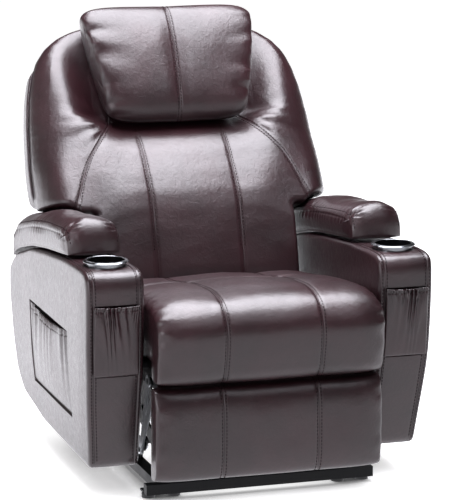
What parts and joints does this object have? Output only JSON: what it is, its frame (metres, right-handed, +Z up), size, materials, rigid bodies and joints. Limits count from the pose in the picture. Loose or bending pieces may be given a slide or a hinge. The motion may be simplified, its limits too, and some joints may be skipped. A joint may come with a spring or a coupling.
{
  "type": "massage chair",
  "caption": "Power-lift massage recliner in glossy brown faux leather, with cup holders, side and front pockets, a headrest pillow, a fold-out footrest and a reclining back.",
  "frame": {"origin": "on the floor, under the middle of the chair's box", "axes": "+X to the sitter's left (the viewer's right from the front), +Y to the back, +Z up"},
  "size_m": [0.86, 1.0502, 1.1021],
  "materials": {
    "leather": "satin",
    "leather_back": "satin",
    "black_steel": "satin",
    "bright_steel": "satin",
    "cup_steel": "polished",
    "black_plastic": "matte",
    "timber": "matte",
    "webbing": "matte",
    "heater_felt": "matte"
  },
  "bodies": {
    "base": {"base_side_rails": "black_steel", "base_front_bar": "black_steel", "base_rear_bar": "black_steel", "base_feet": "black_plastic", "base_pivot_brackets": "black_steel", "base_pivot_pins": "bright_steel", "power_supply": "black_plastic"},
    "lift_arm": {"lift_arms": "black_steel", "lift_torque_tube": "black_steel"},
    "lift_stay": {"lift_stays": "black_steel"},
    "lift_actuator": {"lift_motor": "black_plastic"},
    "lift_piston": {"lift_rod": "bright_steel"},
    "carriage": {"carriage_rails": "black_steel", "carriage_cross_tubes": "black_steel", "carriage_lift_plates": "black_steel", "carriage_pins": "bright_steel", "recline_brackets": "black_steel", "recline_motor": "black_plastic", "control_box": "black_plastic", "seat_box": "timber", "seat_springs": "bright_steel", "seat_massage_motors": "black_plastic", "seat_cushion": "leather", "arm_frame_left": "timber", "arm_frame_right": "timber", "arm_cover_left": "leather", "arm_cover_right": "leather", "arm_pad_left": "leather", "arm_pad_right": "leather", "arm_spacers": "black_plastic", "arm_bolts": "bright_steel", "cup_holder_left": "cup_steel", "cup_holder_right": "cup_steel", "front_pocket_left": "leather", "front_pocket_right": "leather", "side_pocket_left": "leather", "side_pocket_right": "leather", "footrest_flap": "leather"},
    "recline_piston": {"recline_rod": "bright_steel"},
    "drive_link": {"footrest_drive_links": "black_steel", "footrest_drive_tube": "black_steel"},
    "push_link": {"footrest_push_links": "black_steel"},
    "footrest": {"footrest_board": "timber", "footrest_brackets": "black_steel", "footrest_cushion": "leather"},
    "backrest": {"back_frame": "timber", "back_hinge_plates": "black_steel", "back_webbing": "webbing", "back_massage_motors": "black_plastic", "lumbar_heating_pad": "heater_felt", "back_cushion": "leather", "back_rear_cover": "leather_back", "headrest_pillow": "leather"}
  },
  "joints": [
    {"name": "lift", "type": "hinge", "parent": "base", "child": "lift_arm", "pos_m": [0, -0.15, 0.065], "axis": [1, 0, 0], "range_deg": [0, 50]},
    {"name": "carriage_level", "type": "hinge", "parent": "lift_arm", "child": "carriage", "pos_m": [0, 0.23, 0.065], "axis": [1, 0, 0], "range_deg": [-25, 0]},
    {"name": "stay_swing", "type": "hinge", "parent": "base", "child": "lift_stay", "pos_m": [0, -0.343, 0.06], "axis": [1, 0, 0], "range_deg": [0, 45]},
    {"name": "lift_motor_swing", "type": "hinge", "parent": "base", "child": "lift_actuator", "pos_m": [0, 0.3, 0.05], "axis": [1, 0, 0], "range_deg": [-2, 0]},
    {"name": "lift_rod_slide", "type": "slide", "parent": "lift_actuator", "child": "lift_piston", "axis": [0, -0.9739, 0.2271], "range_m": [0, 0.085]},
    {"name": "footrest", "type": "hinge", "parent": "carriage", "child": "footrest", "pos_m": [0, -0.472, 0.437], "axis": [-1, 0, 0], "range_deg": [0, 85]},
    {"name": "footrest_drive", "type": "hinge", "parent": "carriage", "child": "drive_link", "pos_m": [0, -0.35, 0.277], "axis": [-1, 0, 0], "range_deg": [0, 85]},
    {"name": "footrest_push", "type": "hinge", "parent": "footrest", "child": "push_link", "pos_m": [0, -0.413, 0.255], "axis": [-1, 0, 0], "range_deg": [-85, 0]},
    {"name": "recline_rod_slide", "type": "slide", "parent": "carriage", "child": "recline_piston", "axis": [0, -1, 0], "range_m": [0, 0.082]},
    {"name": "recline", "type": "hinge", "parent": "carriage", "child": "backrest", "pos_m": [0, 0.2, 0.308], "axis": [-1, 0, 0], "range_deg": [0, 35]}
  ],
  "couplings": [
    {"joint": "carriage_level", "follows": "lift", "ratio": -0.5},
    {"joint": "stay_swing", "follows": "lift", "ratio": 0.896},
    {"joint": "lift_motor_swing", "follows": "lift", "ratio": -0.03},
    {"joint": "lift_rod_slide", "follows": "lift", "m_per_rad": 0.09667},
    {"joint": "footrest_drive", "follows": "footrest", "ratio": 1},
    {"joint": "footrest_push", "follows": "footrest", "ratio": -1},
    {"joint": "recline_rod_slide", "follows": "footrest", "m_per_rad": 0.05465}
  ]
}
